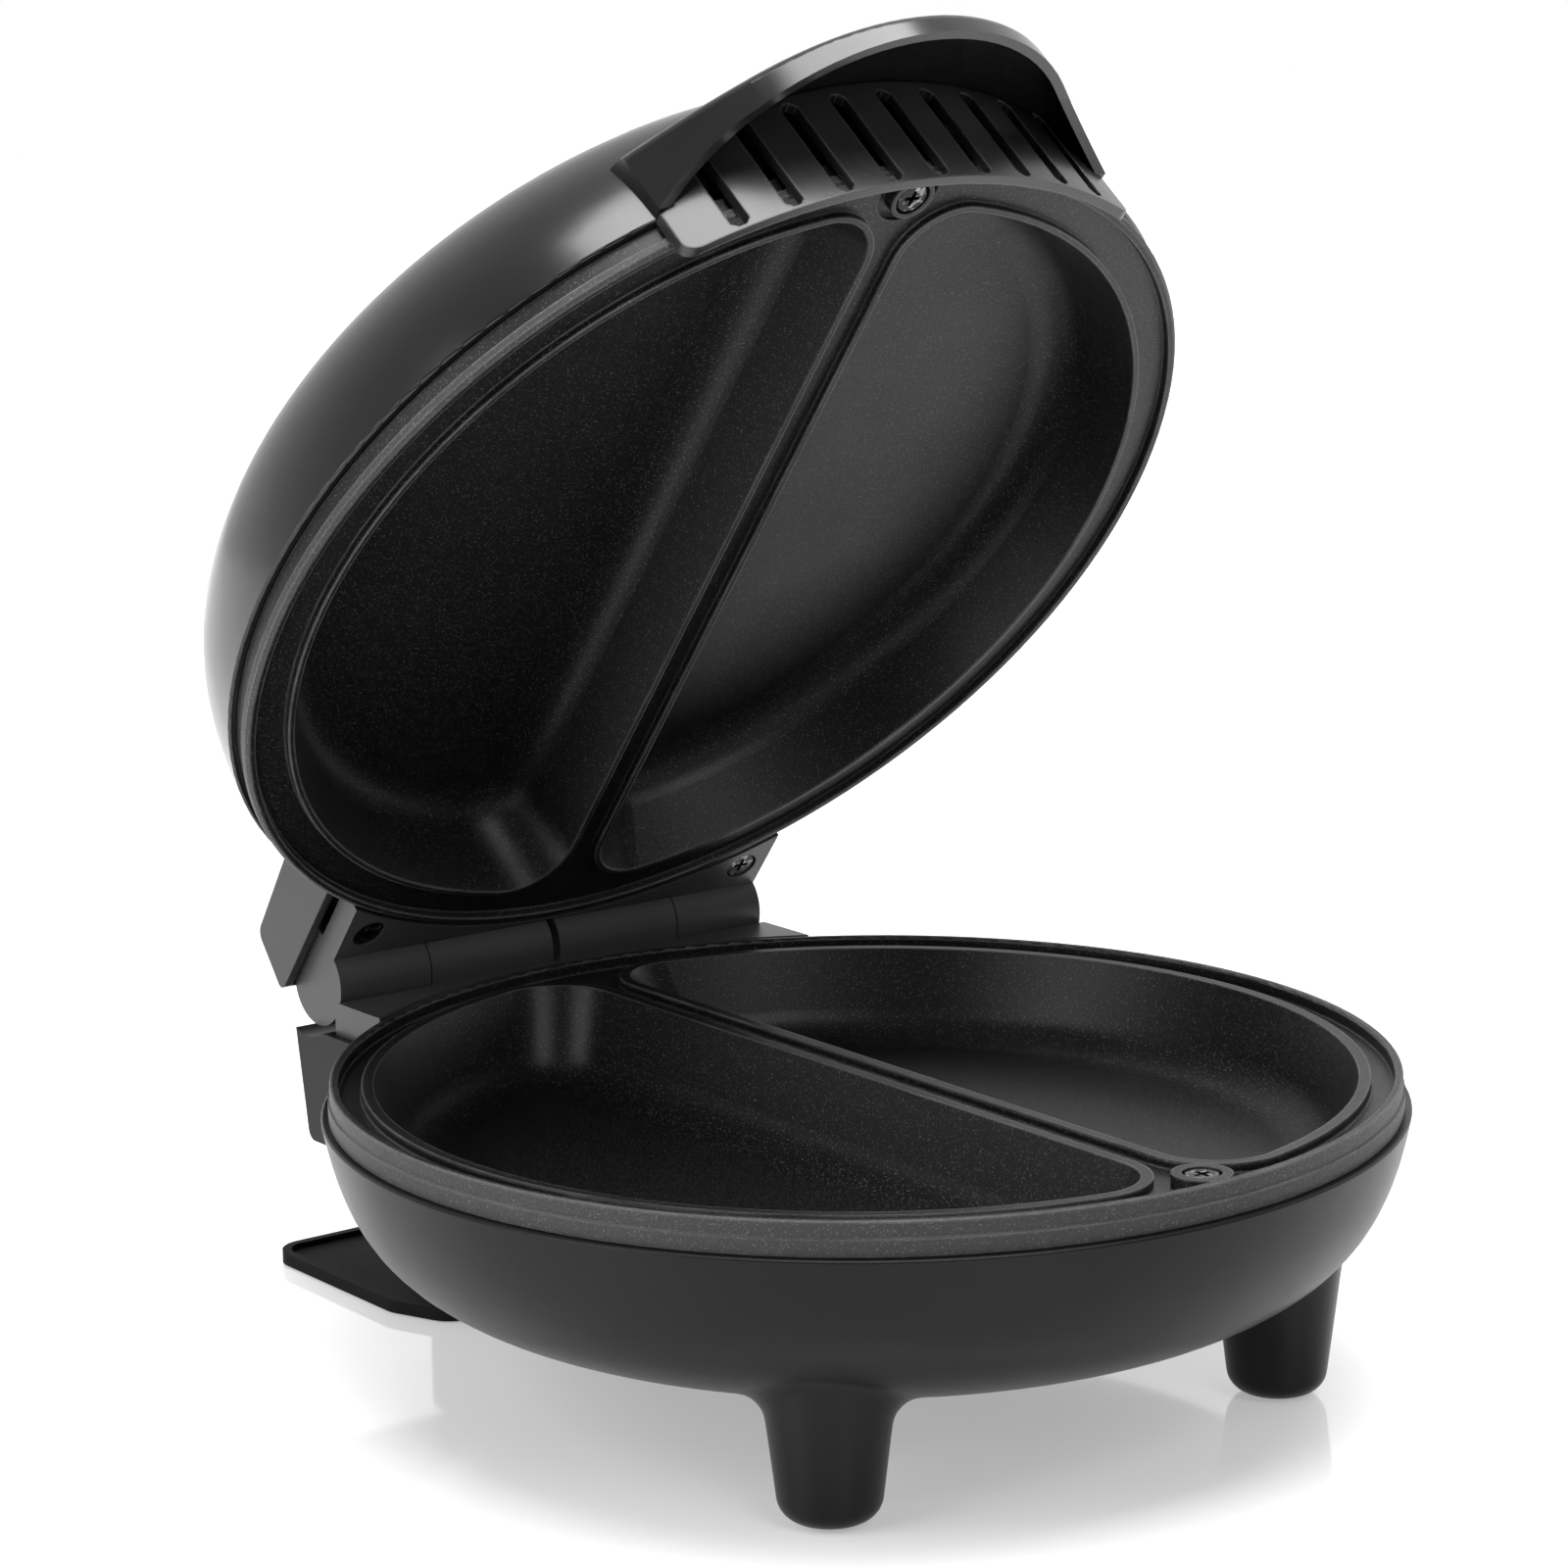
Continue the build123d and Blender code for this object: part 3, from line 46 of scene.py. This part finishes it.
def add_camera():
    """The camera of the photograph, solved from the rims, wells and feet."""
    azimuth, elevation, roll = CAMERA_AZIMUTH, CAMERA_ELEVATION, CAMERA_ROLL
    flat = math.cos(elevation)
    back = Vector((math.sin(azimuth) * flat, -math.cos(azimuth) * flat, math.sin(elevation)))
    level = Vector((math.cos(azimuth), math.sin(azimuth), 0))
    up = back.cross(level)
    right = math.cos(roll) * level + math.sin(roll) * up
    top = -math.sin(roll) * level + math.cos(roll) * up
    turn = Matrix((right, top, back)).transposed().to_4x4()
    data = bpy.data.cameras.new("photo_camera")
    data.lens = CAMERA_LENS
    data.sensor_width = SENSOR_WIDTH
    data.clip_end = CAMERA_REACH
    camera = bpy.data.objects.new("photo_camera", data)
    camera.matrix_world = Matrix.Translation(CAMERA_PLACE) @ turn
    bpy.context.scene.collection.objects.link(camera)
    bpy.context.scene.camera = camera


add_camera()

# ---------------------------------------------------------------- material helpers

NOISE_LOW, NOISE_HIGH = 0.3, 0.7  # nearly all of a noise's values lie between these


def new_material(name, color, rough, **settings):
    """A Principled material with its plain numbers set on the shader's own sockets."""
    mat = bpy.data.materials.new(name)
    mat.use_nodes = True
    shader = mat.node_tree.nodes["Principled BSDF"]
    shader.inputs["Base Color"].default_value = (*color, 1)
    shader.inputs["Roughness"].default_value = rough
    for key, value in settings.items():
        shader.inputs[key.replace("_", " ")].default_value = value
    return mat, shader


def node(mat, kind, **settings):
    """A shader node with its properties and inputs set."""
    made = mat.node_tree.nodes.new(kind)
    for key, value in settings.items():
        if key in made.inputs:
            made.inputs[key].default_value = value
        else:
            setattr(made, key, value)
    return made


def link(mat, output, socket):
    """A wire from a node's output to another's input."""
    mat.node_tree.links.new(output, socket)


def noise(mat, scale, detail=2.0):
    """Noise in the object's own coordinates, which are the frame's metres at rest."""
    coords = node(mat, "ShaderNodeTexCoord")
    made = node(mat, "ShaderNodeTexNoise", Scale=scale, Detail=detail)
    link(mat, coords.outputs["Object"], made.inputs["Vector"])
    return made.outputs["Fac"]


def remap(mat, value, low, high, from_low=NOISE_LOW, from_high=NOISE_HIGH):
    """A value brought from one range into another."""
    made = node(mat, "ShaderNodeMapRange")
    ends = (("From Min", from_low), ("From Max", from_high), ("To Min", low), ("To Max", high))
    for key, end in ends:
        made.inputs[key].default_value = end
    link(mat, value, made.inputs["Value"])
    return made.outputs["Result"]


def calc(mat, operation, a, b=0.0):
    """A math node on two outputs or plain numbers."""
    made = node(mat, "ShaderNodeMath", operation=operation)
    for socket, value in zip(made.inputs, (a, b)):
        if isinstance(value, (int, float)):
            socket.default_value = value
        else:
            link(mat, value, socket)
    return made.outputs["Value"]


def tint(mat, shader, factor, dark, light):
    """Base colour between two colours by a factor."""
    made = node(mat, "ShaderNodeMix", data_type="RGBA")
    made.inputs["A"].default_value = (*dark, 1)
    made.inputs["B"].default_value = (*light, 1)
    link(mat, factor, made.inputs["Factor"])
    link(mat, made.outputs["Result"], shader.inputs["Base Color"])


def vary_gloss(mat, shader, pattern, low, high):
    """Roughness between two values by a pattern."""
    link(mat, remap(mat, pattern, low, high), shader.inputs["Roughness"])


def add_bump(mat, shader, height, strength, distance):
    """Relief from a height, chained onto whatever relief the shader has already."""
    made = node(mat, "ShaderNodeBump", Strength=strength, Distance=distance)
    link(mat, height, made.inputs["Height"])
    if shader.inputs["Normal"].links:
        link(mat, shader.inputs["Normal"].links[0].from_socket, made.inputs["Normal"])
    link(mat, made.outputs["Normal"], shader.inputs["Normal"])


# ---------------------------------------------------------------- worn edges, with a painted highlight along them

EDGE_RADIUS = 0.6 * MM
EDGE_SAMPLES = 2
EDGE_COSINE = 0.9  # between the rounded and the true normal, where the wear and the painted highlight are full
FACE_COSINE = 0.992  # and where there is none
WEAR_AND_HIGHLIGHT_SCALE = 60.0
LEAST_WEAR_AND_HIGHLIGHT = 0.35
# pale colour of worn edges and of the painted highlight along them; specks, skirt and faint tones go
# towards it too
PALE_WEAR_AND_HIGHLIGHT_COLOR = (0.2, 0.2, 0.205)


def edge_wear_and_highlight(mat, shader):
    """Rounds sharp edges in the shading, and gives how pale the edges are painted, partly as wear and
    partly as a painted highlight: 0 away from them.
    """
    rounded = node(mat, "ShaderNodeBevel", samples=EDGE_SAMPLES, Radius=EDGE_RADIUS).outputs["Normal"]
    link(mat, rounded, shader.inputs["Normal"])
    bend = node(mat, "ShaderNodeVectorMath", operation="DOT_PRODUCT")
    link(mat, rounded, bend.inputs[0])
    link(mat, node(mat, "ShaderNodeNewGeometry").outputs["Normal"], bend.inputs[1])
    # the same pale edge on every edge, whatever the light: part wear, part painted highlight
    pale_marks = remap(mat, bend.outputs["Value"], 1, 0, EDGE_COSINE, FACE_COSINE)
    return calc(mat, "MULTIPLY", pale_marks, remap(mat, noise(mat, WEAR_AND_HIGHLIGHT_SCALE, detail=3.0), LEAST_WEAR_AND_HIGHLIGHT, 1))


# ---------------------------------------------------------------- moulded plastic

PATCH_SCALE = 35.0  # of the patches in gloss and tarnish
TONE_SCALE = 14.0
GRAIN_STRENGTH = 0.5
PALE_TONE = 1.35  # the palest tone, as a multiple of the plain colour
TONE_SHARE = 0.05  # how far the palest tone goes towards the pale colour, where edges are painted pale
WEAR_AND_HIGHLIGHT_SHARE = 0.6  # and how far an edge does, as wear and as a painted highlight


def moulded(name, color, rough, spread, grain_scale, grain_depth, edges=False, **settings):
    """Moulded plastic: slightly uneven gloss, faint tone changes, a fine grain and, where edges is set,
    worn edges with a painted highlight along them.
    """
    mat, shader = new_material(name, color, rough, **settings)
    vary_gloss(mat, shader, noise(mat, PATCH_SCALE, detail=4.0), rough - spread, rough + spread)
    tone = remap(mat, noise(mat, TONE_SCALE, detail=3.0), 0, 1)
    if edges:
        faint = calc(mat, "MULTIPLY", tone, TONE_SHARE)
        # pale edges: wear, and a painted highlight along every edge
        pale_marks = calc(mat, "MULTIPLY", edge_wear_and_highlight(mat, shader), WEAR_AND_HIGHLIGHT_SHARE)
        tint(mat, shader, calc(mat, "ADD", faint, pale_marks), color, PALE_WEAR_AND_HIGHLIGHT_COLOR)
    else:
        tint(mat, shader, tone, color, [PALE_TONE * part for part in color])
    add_bump(mat, shader, noise(mat, grain_scale), GRAIN_STRENGTH, grain_depth)
    return mat


# ---------------------------------------------------------------- coated plates

LID_JOINT = frame["record"]["behaviour"]["joints"][0]
HINGE = Vector(LID_JOINT["pos_m"])
OPEN_ANGLE = math.radians(LID_JOINT["range_deg"][1])
BASE_LOW, BASE_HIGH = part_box("base_plate")
PLATE_RADIUS = (BASE_HIGH[0] - BASE_LOW[0]) / 2
PLATE_AXIS_Y = (BASE_HIGH[1] + BASE_LOW[1]) / 2
SKIRT_START = PLATE_RADIUS - 0.8 * MM
SKIRT_BLEND = 0.1 * MM
PLATE_BLACK = (0.005, 0.005, 0.0055)
PLATE_ROUGH = 0.4
PLATE_GLOSSIER, PLATE_DULLER = 0.03, 0.04
SKIRT_ROUGHER = 0.1
SKIRT_PALER = 0.14  # how far the skirt goes towards the pale colour
SPECK_PALER = 0.24  # and how far a speck does


def plate_distance(mat, on_lid):
    """How far a point lies from its plate's axis, with the lid's coordinates swung shut."""
    coords = node(mat, "ShaderNodeTexCoord").outputs["Object"]
    if on_lid:
        swing = node(mat, "ShaderNodeVectorRotate", rotation_type="X_AXIS", Center=HINGE, Angle=OPEN_ANGLE)
        link(mat, coords, swing.inputs["Vector"])
        coords = swing.outputs["Vector"]
    place = node(mat, "ShaderNodeSeparateXYZ")
    link(mat, coords, place.inputs["Vector"])
    across = calc(mat, "POWER", place.outputs["X"], 2.0)
    along = calc(mat, "POWER", calc(mat, "SUBTRACT", place.outputs["Y"], PLATE_AXIS_Y), 2.0)
    return calc(mat, "SQRT", calc(mat, "ADD", across, along))


def coated_plate(name, on_lid):
    """Non-stick coating with fine specks, worn edges with a painted highlight along them, and a coarser
    cast grain on the skirt.
    """
    mat, shader = new_material(name, PLATE_BLACK, PLATE_ROUGH, Specular_IOR_Level=0.25)
    inner, outer = SKIRT_START - SKIRT_BLEND, SKIRT_START + SKIRT_BLEND
    skirt = remap(mat, plate_distance(mat, on_lid), 0, 1, inner, outer)
    low, high = PLATE_ROUGH - PLATE_GLOSSIER, PLATE_ROUGH + PLATE_DULLER
    patches = remap(mat, noise(mat, PATCH_SCALE, detail=4.0), low, high)
    rougher = calc(mat, "MULTIPLY", skirt, SKIRT_ROUGHER)
    link(mat, calc(mat, "ADD", patches, rougher), shader.inputs["Roughness"])
    specks = remap(mat, noise(mat, scale=2600.0, detail=0.0), 0, 1, from_low=0.66, from_high=0.74)
    pale_specks = calc(mat, "MULTIPLY", specks, SPECK_PALER)
    pale = calc(mat, "ADD", pale_specks, calc(mat, "MULTIPLY", skirt, SKIRT_PALER))
    # edges painted pale: partly wear, partly a painted highlight
    tint(mat, shader, calc(mat, "ADD", pale, edge_wear_and_highlight(mat, shader)), PLATE_BLACK, PALE_WEAR_AND_HIGHLIGHT_COLOR)
    add_bump(mat, shader, noise(mat, scale=1600.0, detail=3.0), strength=0.35, distance=0.03 * MM)
    cast_grain = calc(mat, "MULTIPLY", noise(mat, scale=1100.0, detail=4.0), skirt)
    add_bump(mat, shader, cast_grain, strength=1.0, distance=0.2 * MM)
    return mat


# ---------------------------------------------------------------- metals and lenses

SCREW_BLACK = (0.02, 0.02, 0.021)
SCREW_WORN = (0.3, 0.295, 0.29)
METAL_GLOSSIER, METAL_DULLER = 0.08, 0.1
METAL_TARNISH = 0.7  # the darkest tone, as a multiple of the plain colour
LENS_RED = (0.5, 0.02, 0.015)
LENS_PALE = (0.62, 0.03, 0.02)


def worn_screw():
    """Blackened screw with bright worn spots."""
    mat, shader = new_material("dark_screw", SCREW_BLACK, rough=0.3, Metallic=1.0)
    pale_marks = remap(mat, noise(mat, scale=700.0, detail=3.0), 0, 1, from_low=0.52, from_high=0.66)
    tint(mat, shader, pale_marks, SCREW_BLACK, SCREW_WORN)
    vary_gloss(mat, shader, noise(mat, scale=1500.0), low=0.22, high=0.42)
    add_bump(mat, shader, noise(mat, scale=900.0, detail=3.0), strength=0.6, distance=0.04 * MM)
    return mat


def metal(name, color, rough, streak_scale):
    """Plain plated metal with fine uneven streaks."""
    mat, shader = new_material(name, color, rough, Metallic=1.0)
    streaks = noise(mat, streak_scale, detail=5.0)
    vary_gloss(mat, shader, streaks, rough - METAL_GLOSSIER, rough + METAL_DULLER)
    patches = remap(mat, noise(mat, PATCH_SCALE, detail=5.0), 0, 1)
    tint(mat, shader, patches, color, [METAL_TARNISH * part for part in color])
    add_bump(mat, shader, noise(mat, streak_scale, detail=3.0), strength=0.4, distance=0.02 * MM)
    return mat


def clear_lens():
    """Red tinted clear plastic."""
    mat, shader = new_material("lens", LENS_RED, rough=0.12, Transmission_Weight=0.5)
    add_bump(mat, shader, noise(mat, scale=400.0), strength=0.3, distance=0.02 * MM)
    tint(mat, shader, remap(mat, noise(mat, scale=90.0), 0, 1), LENS_RED, LENS_PALE)
    return mat


# ---------------------------------------------------------------- what each node is made of

SATIN = {"Specular_IOR_Level": 0.14}
MATTE = {"Specular_IOR_Level": 0.08}
MOULDED = {
    "gloss_black_shell": dict(
        color=(0.006, 0.006, 0.0065), rough=0.2, spread=0.02,
        grain_scale=120.0, grain_depth=0.02 * MM,
    ),
    "satin_black_housing": dict(
        color=(0.006, 0.006, 0.006), rough=0.34, spread=0.03,
        grain_scale=2500.0, grain_depth=0.02 * MM, **SATIN,
    ),
    # the cover's edges are painted pale, as wear and as a painted highlight
    "matte_black_cover": dict(
        color=(0.005, 0.005, 0.005), rough=0.26, spread=0.03,
        grain_scale=1800.0, grain_depth=0.03 * MM, edges=True,
    ),
    "matte_black_foot": dict(
        color=(0.005, 0.005, 0.005), rough=0.65, spread=0.04,
        grain_scale=2000.0, grain_depth=0.03 * MM, **MATTE,
    ),
    # the cover's black plastic made paler for the hinge brackets: painted light
    "matte_black_hinge": dict(
        color=(0.032, 0.032, 0.033), rough=0.36, spread=0.04,
        grain_scale=1500.0, grain_depth=0.05 * MM,
    ),
    "rubber_pad": dict(
        color=(0.012, 0.012, 0.012), rough=0.7, spread=0.05,
        grain_scale=1200.0, grain_depth=0.05 * MM, **SATIN,
    ),
    "white_ceramic": dict(
        color=(0.6, 0.58, 0.54), rough=0.25, spread=0.04,
        grain_scale=800.0, grain_depth=0.03 * MM,
    ),
    "white_sleeve": dict(
        color=(0.58, 0.57, 0.52), rough=0.5, spread=0.05,
        grain_scale=1500.0, grain_depth=0.06 * MM,
    ),
    "white_plastic": dict(
        color=(0.58, 0.58, 0.56), rough=0.4, spread=0.05,
        grain_scale=900.0, grain_depth=0.03 * MM,
    ),
    "lamp_glass": dict(
        color=(0.6, 0.35, 0.2), rough=0.1, spread=0.02,
        grain_scale=300.0, grain_depth=0.01 * MM,
    ),
}
METALS = {
    "plated_steel": dict(color=(0.6, 0.6, 0.6), rough=0.3, streak_scale=900.0),
    "element_sheath": dict(color=(0.3, 0.29, 0.28), rough=0.4, streak_scale=700.0),
    "aluminium_sheet": dict(color=(0.75, 0.76, 0.78), rough=0.3, streak_scale=500.0),
}

finishes = {name: moulded(name, **look) for name, look in MOULDED.items()}
finishes.update({name: metal(name, **look) for name, look in METALS.items()})
finishes["dark_screw"] = worn_screw()
finishes["lens"] = clear_lens()
own_material = {
    "base_plate": coated_plate("coated_plate_base", on_lid=False),
    "lid_plate": coated_plate("coated_plate_lid", on_lid=True),
    "base_hinge_bracket": finishes["matte_black_hinge"],
    "lid_hinge_bracket": finishes["matte_black_hinge"],
    "rear_foot": finishes["matte_black_foot"],
}
for entry in frame["record"]["subparts"]:
    name, slot = entry["node"], entry["material_slot"]
    materials = nodes[name].data.materials
    materials.clear()
    materials.append(own_material[name] if name in own_material else finishes[slot])

# ---------------------------------------------------------------- stage and lights

FLOOR_HALF = 3.0
FLOOR_COLOR = (0.72, 0.72, 0.73)
FLOOR_GLOW, FAR_GLOW = 0.35, 0.85
GLOW_START, GLOW_END = 0.4, 1.3  # how far out the floor begins and ends fading into plain white
WHITE = (1, 1, 1, 1)
BACKDROP = Vector((-math.sin(CAMERA_AZIMUTH), math.cos(CAMERA_AZIMUTH), 0))  # the way to it
ROOM_DARK, ROOM_BRIGHT = 0.06, 1.0  # brightness behind the camera, and of the backdrop
DARK_END, BRIGHT_START = -0.25, 0.55  # cosines from the way to the backdrop
LIGHT_AIM = Vector((0, 0, 0.12))


def add_floor():
    """A glossy pale floor that glows a little, and fades into plain white further out."""
    mesh = bpy.data.meshes.new("floor")
    corners = [(x * FLOOR_HALF, y * FLOOR_HALF, 0) for x, y in ((-1, -1), (1, -1), (1, 1), (-1, 1))]
    mesh.from_pydata(corners, [], [(0, 1, 2, 3)])
    floor = bpy.data.objects.new("floor", mesh)
    mat, shader = new_material("floor_white", FLOOR_COLOR, rough=0.07, Specular_IOR_Level=0.8)
    shader.inputs["Emission Color"].default_value = WHITE
    reach = node(mat, "ShaderNodeVectorMath", operation="LENGTH")
    link(mat, node(mat, "ShaderNodeTexCoord").outputs["Object"], reach.inputs[0])
    glow = remap(mat, reach.outputs["Value"], FLOOR_GLOW, FAR_GLOW, GLOW_START, GLOW_END)
    link(mat, glow, shader.inputs["Emission Strength"])
    mesh.materials.append(mat)
    bpy.context.scene.collection.objects.link(floor)


def add_area(name, place, size, power):
    """A soft box at a place, aimed at the object's middle."""
    data = bpy.data.lights.new(name, "AREA")
    data.shape = "RECTANGLE"
    data.size, data.size_y = size
    data.energy = power
    lamp = bpy.data.objects.new(name, data)
    turn = (LIGHT_AIM - Vector(place)).to_track_quat("-Z", "Y").to_matrix().to_4x4()
    lamp.matrix_world = Matrix.Translation(place) @ turn
    bpy.context.scene.collection.objects.link(lamp)


def add_world():
    """A bright backdrop behind the object, fading into a dark room behind the camera."""
    world = bpy.data.worlds.new("studio")
    world.use_nodes = True
    light = world.node_tree.nodes["Background"]
    light.inputs["Color"].default_value = WHITE
    facing = node(world, "ShaderNodeVectorMath", operation="DOT_PRODUCT")
    facing.inputs[1].default_value = BACKDROP
    link(world, node(world, "ShaderNodeTexCoord").outputs["Generated"], facing.inputs[0])
    room = remap(world, facing.outputs["Value"], ROOM_DARK, ROOM_BRIGHT, DARK_END, BRIGHT_START)
    seen = node(world, "ShaderNodeLightPath").outputs["Is Camera Ray"]
    link(world, calc(world, "MAXIMUM", room, seen), light.inputs["Strength"])
    bpy.context.scene.world = world


add_floor()
add_world()
add_area("left_box", place=(-1.3, 0.1, 0.6), size=(0.8, 1.2), power=14)
add_area("top_box", place=(0.0, -0.1, 1.3), size=(1.0, 0.8), power=26)
add_area("front_box", place=(-0.2, -1.4, 1.1), size=(0.8, 0.8), power=9)

bpy.context.scene.view_settings.view_transform = "Standard"
